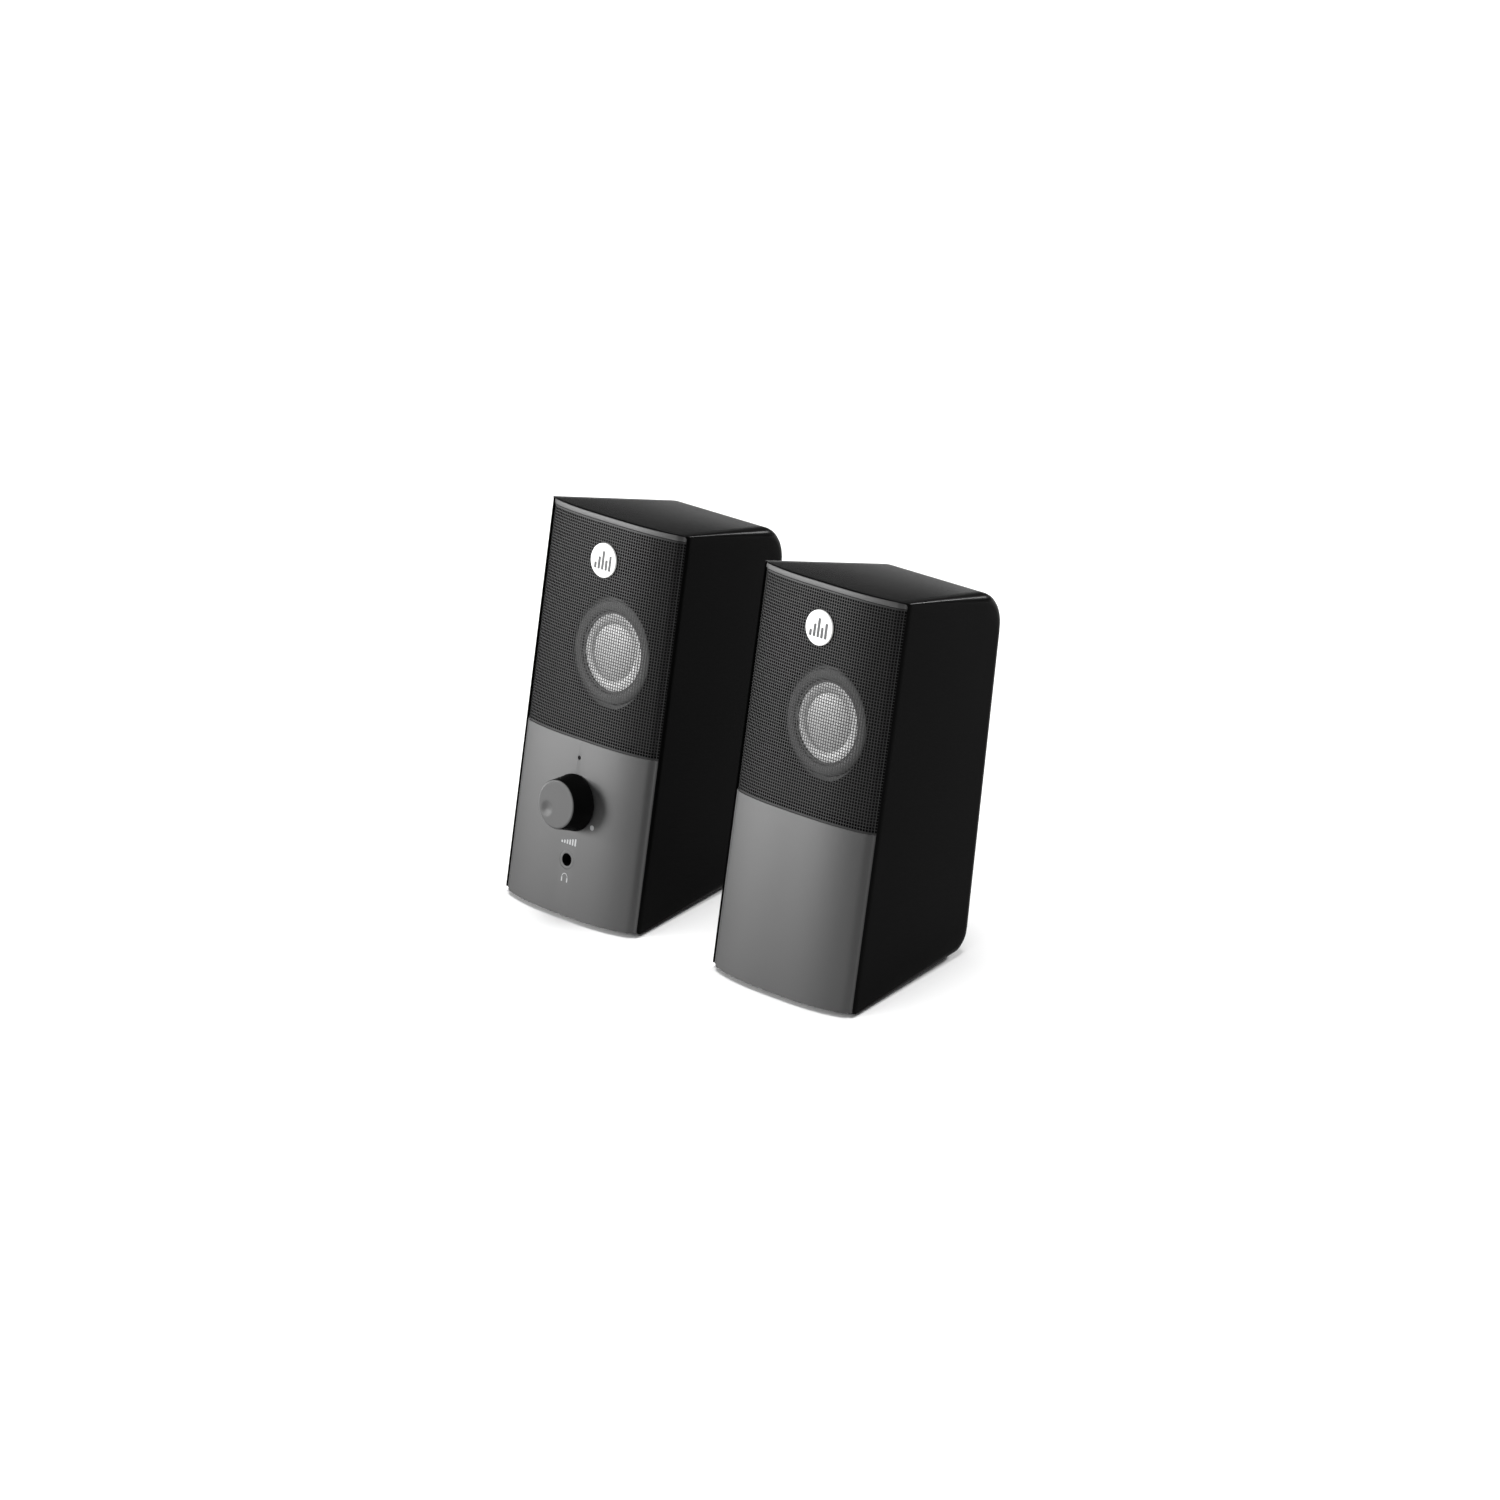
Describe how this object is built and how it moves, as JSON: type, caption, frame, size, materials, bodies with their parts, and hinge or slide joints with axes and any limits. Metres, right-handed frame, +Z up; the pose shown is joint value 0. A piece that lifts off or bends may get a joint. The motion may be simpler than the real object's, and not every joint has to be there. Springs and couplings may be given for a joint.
{
  "type": "desktop speakers",
  "caption": "Pair of small leaning desktop loudspeakers: gloss black tapered cabinets, curved grey fascias, perforated grilles, and a volume knob and headphone socket on one.",
  "frame": {"origin": "middle of the bottom of the pair's bounding box, on the floor", "axes": "+X from the active (left) speaker to the passive (right) one, fronts face -Y, +Z up"},
  "size_m": [0.1972, 0.1102, 0.1668],
  "materials": {
    "gloss_black": "high-gloss moulded ABS",
    "satin_grey": "satin grey moulded ABS",
    "mesh_black": "perforated steel, black powder coat",
    "matte_black": "fine-textured black ABS",
    "print_white": "white moulded disc with a dark printed sign",
    "cone_silver": "metallised polypropylene",
    "rubber": "dark grey moulded rubber",
    "black_steel": "black coated steel",
    "ferrite": null,
    "zinc_steel": "zinc-plated steel",
    "kapton": "copper winding on an amber film former",
    "cotton": "resin-treated cotton",
    "knob_grey": "satin grey moulded ABS",
    "board_green": "glass-epoxy board with green resist",
    "chip_black": "black moulded resin",
    "lens": "smoked clear light pipe"
  },
  "bodies": {
    "left_speaker": {"left_cabinet": "gloss_black", "left_rear_panel": "matte_black", "left_baffle": "matte_black", "left_fascia": "satin_grey", "left_top_trim": "satin_grey", "left_grille": "mesh_black", "left_badge": "print_white", "left_driver_basket": "black_steel", "left_driver_surround": "rubber", "left_spider": "cotton", "left_driver_top_plate": "zinc_steel", "left_driver_magnet": "ferrite", "left_driver_yoke": "zinc_steel", "left_foot_1": "rubber", "left_foot_2": "rubber", "left_foot_3": "rubber", "left_foot_4": "rubber", "left_screw_1": "black_steel", "left_screw_2": "black_steel", "left_screw_3": "black_steel", "left_screw_4": "black_steel", "left_cable_gland_1": "rubber", "left_cable_gland_2": "rubber", "left_pot_body": "chip_black", "left_headphone_jack": "matte_black", "left_power_light": "lens", "left_amp_board": "board_green", "left_heat_sink": "zinc_steel", "left_capacitor": "chip_black"},
    "right_speaker": {"right_cabinet": "gloss_black", "right_rear_panel": "matte_black", "right_baffle": "matte_black", "right_fascia": "satin_grey", "right_top_trim": "satin_grey", "right_grille": "mesh_black", "right_badge": "print_white", "right_driver_basket": "black_steel", "right_driver_surround": "rubber", "right_spider": "cotton", "right_driver_top_plate": "zinc_steel", "right_driver_magnet": "ferrite", "right_driver_yoke": "zinc_steel", "right_foot_1": "rubber", "right_foot_2": "rubber", "right_foot_3": "rubber", "right_foot_4": "rubber", "right_screw_1": "black_steel", "right_screw_2": "black_steel", "right_screw_3": "black_steel", "right_screw_4": "black_steel", "right_cable_gland_1": "rubber"},
    "volume_control": {"left_volume_knob": "knob_grey", "left_pot_shaft": "zinc_steel"},
    "left_diaphragm": {"left_driver_cone": "cone_silver", "left_driver_dust_cap": "cone_silver", "left_voice_coil": "kapton"},
    "right_diaphragm": {"right_driver_cone": "cone_silver", "right_driver_dust_cap": "cone_silver", "right_voice_coil": "kapton"}
  },
  "joints": [
    {"name": "volume_turn", "type": "hinge", "parent": "left_speaker", "child": "volume_control", "pos_m": [-0.06, -0.04293, 0.0489], "axis": [0, 0.9815, -0.1913], "range_deg": [0, 244]},
    {"name": "left_cone_stroke", "type": "slide", "parent": "left_speaker", "child": "left_diaphragm", "axis": [0, -0.9815, 0.1913], "range_m": [-0.0015, 0.0015], "stiffness_N_per_m": 2200, "deforming": ["left_driver_surround", "left_spider"]},
    {"name": "right_cone_stroke", "type": "slide", "parent": "right_speaker", "child": "right_diaphragm", "axis": [0, -0.9815, 0.1913], "range_m": [-0.0015, 0.0015], "stiffness_N_per_m": 2200, "deforming": ["right_driver_surround", "right_spider"]},
    {"name": "speaker_spacing", "type": "slide", "parent": "left_speaker", "child": "right_speaker", "axis": [1, 0, 0], "range_m": [0, 0.15]}
  ]
}
